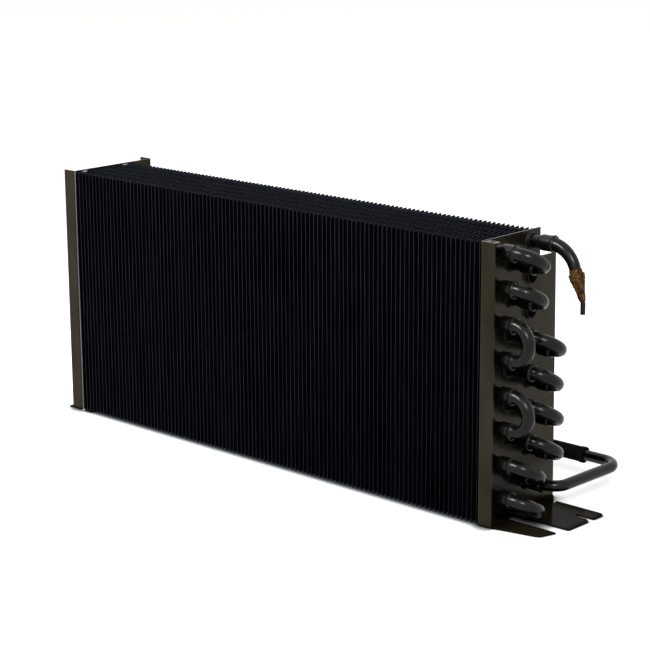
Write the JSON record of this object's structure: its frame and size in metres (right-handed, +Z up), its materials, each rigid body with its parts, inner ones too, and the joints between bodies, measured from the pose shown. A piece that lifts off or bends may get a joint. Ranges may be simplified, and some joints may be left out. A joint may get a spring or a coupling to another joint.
{
  "type": "evaporator coil",
  "caption": "Black coated plate-fin evaporator coil with hairpin tubes, brazed return bends, folded steel end plates, a capillary inlet and a bent outlet pipe with a rubber sleeve.",
  "frame": {"origin": "middle of the whole coil's length and depth, at the underside of its feet", "axes": "+X along the tubes towards the return bends, +Y with the air through the fins, +Z up"},
  "size_m": [0.5038, 0.1376, 0.2063],
  "materials": {
    "fins": "black coating, satin",
    "plates": "dark brown-grey coating, semi-gloss",
    "tubes": "black coating, gloss",
    "braze": "heat-stained braze metal, dull",
    "sleeve": "black, matt"
  },
  "bodies": {
    "root": {"fin_pack": "fins", "end_plate_left": "plates", "end_plate_right": "plates", "hairpin_a1_a2": "tubes", "hairpin_a4_b3": "tubes", "hairpin_a6_b5": "tubes", "hairpin_b2_a3": "tubes", "hairpin_b4_a5": "tubes", "hairpin_b6_a7": "tubes", "hairpin_b7_a8": "tubes", "hairpin_b8_c8": "tubes", "hairpin_c1_b1": "tubes", "hairpin_c4_c5": "tubes", "hairpin_c6_c7": "tubes", "return_bend_a1_b1": "tubes", "return_bend_a2_b2": "tubes", "return_bend_a3_a4": "tubes", "return_bend_a5_a6": "tubes", "return_bend_a7_b7": "tubes", "return_bend_a8_b8": "tubes", "return_bend_b3_c4": "tubes", "return_bend_b4_c5": "tubes", "return_bend_b5_c6": "tubes", "return_bend_b6_c7": "tubes", "inlet_elbow": "tubes", "inlet_reducer": "braze", "capillary_stub": "tubes", "outlet_pipe": "tubes", "rubber_sleeve": "sleeve"}
  },
  "joints": []
}
